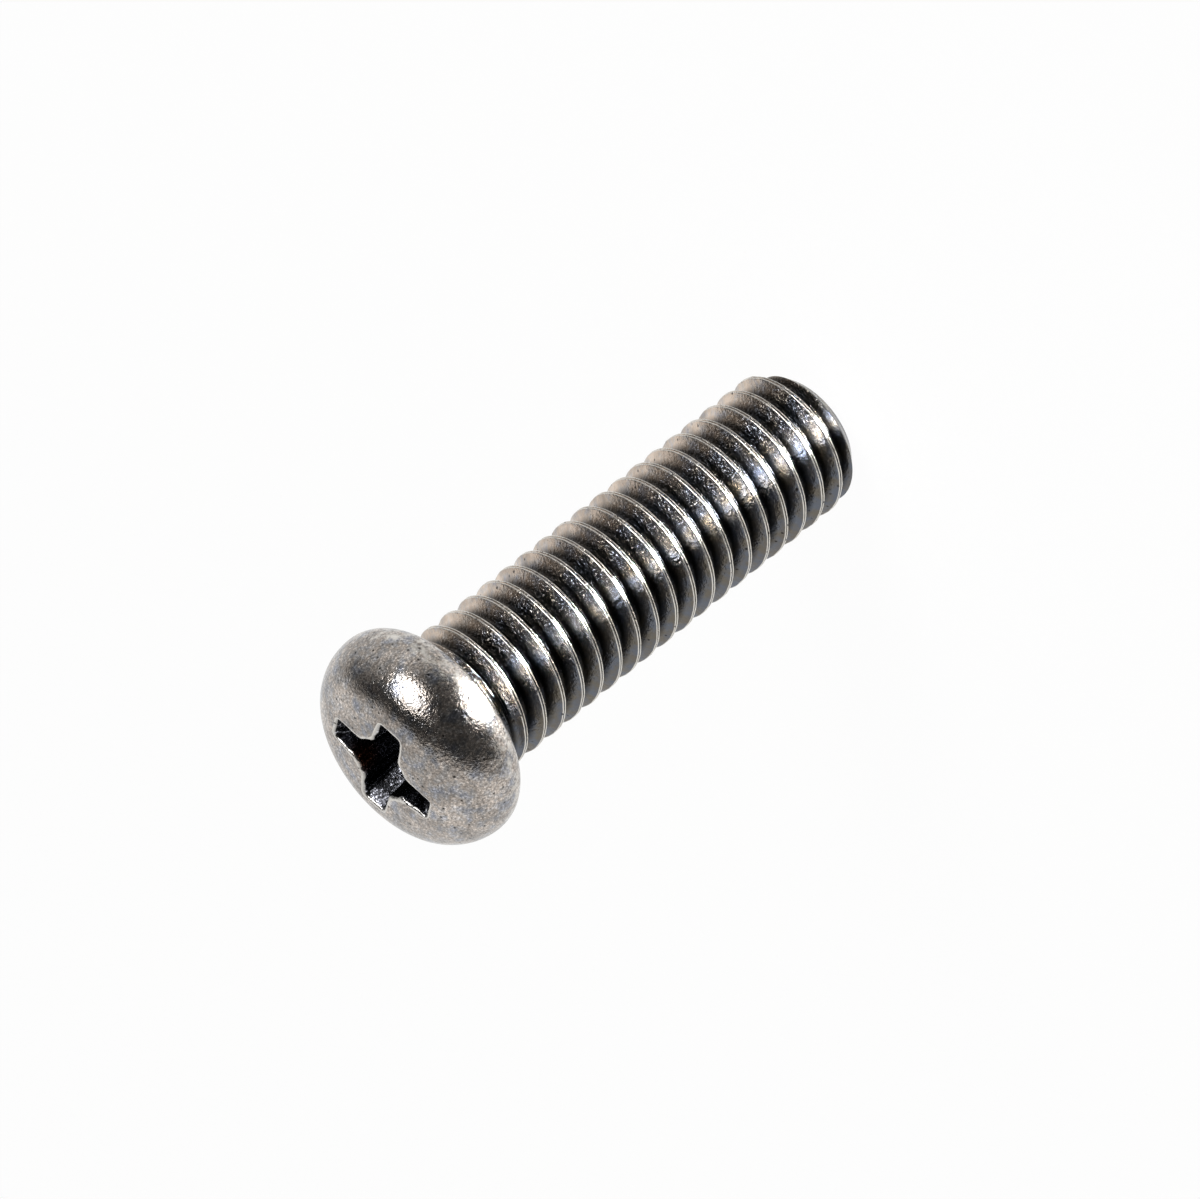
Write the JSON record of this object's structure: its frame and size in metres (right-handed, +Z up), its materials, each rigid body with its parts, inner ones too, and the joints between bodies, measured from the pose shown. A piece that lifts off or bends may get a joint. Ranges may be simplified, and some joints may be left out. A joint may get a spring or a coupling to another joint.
{
  "type": "machine screw",
  "caption": "Pan head machine screw with a cross recess and a full-length left-hand thread, in worn black-finished steel.",
  "frame": {"origin": "centre of the bearing face under the head, on the screw's axis", "axes": "+Z up along the screw's axis, from the tip to the head; the screw stands on the flat end of its shank, and the wings of the recess point along X and Y"},
  "size_m": [0.0088, 0.0088, 0.023],
  "materials": {
    "blackened_steel": "worn black zinc plating on rolled steel, shiny on the flanks and rubbed bright on the crests"
  },
  "bodies": {
    "root": {"machine_screw": "blackened_steel"}
  },
  "joints": []
}
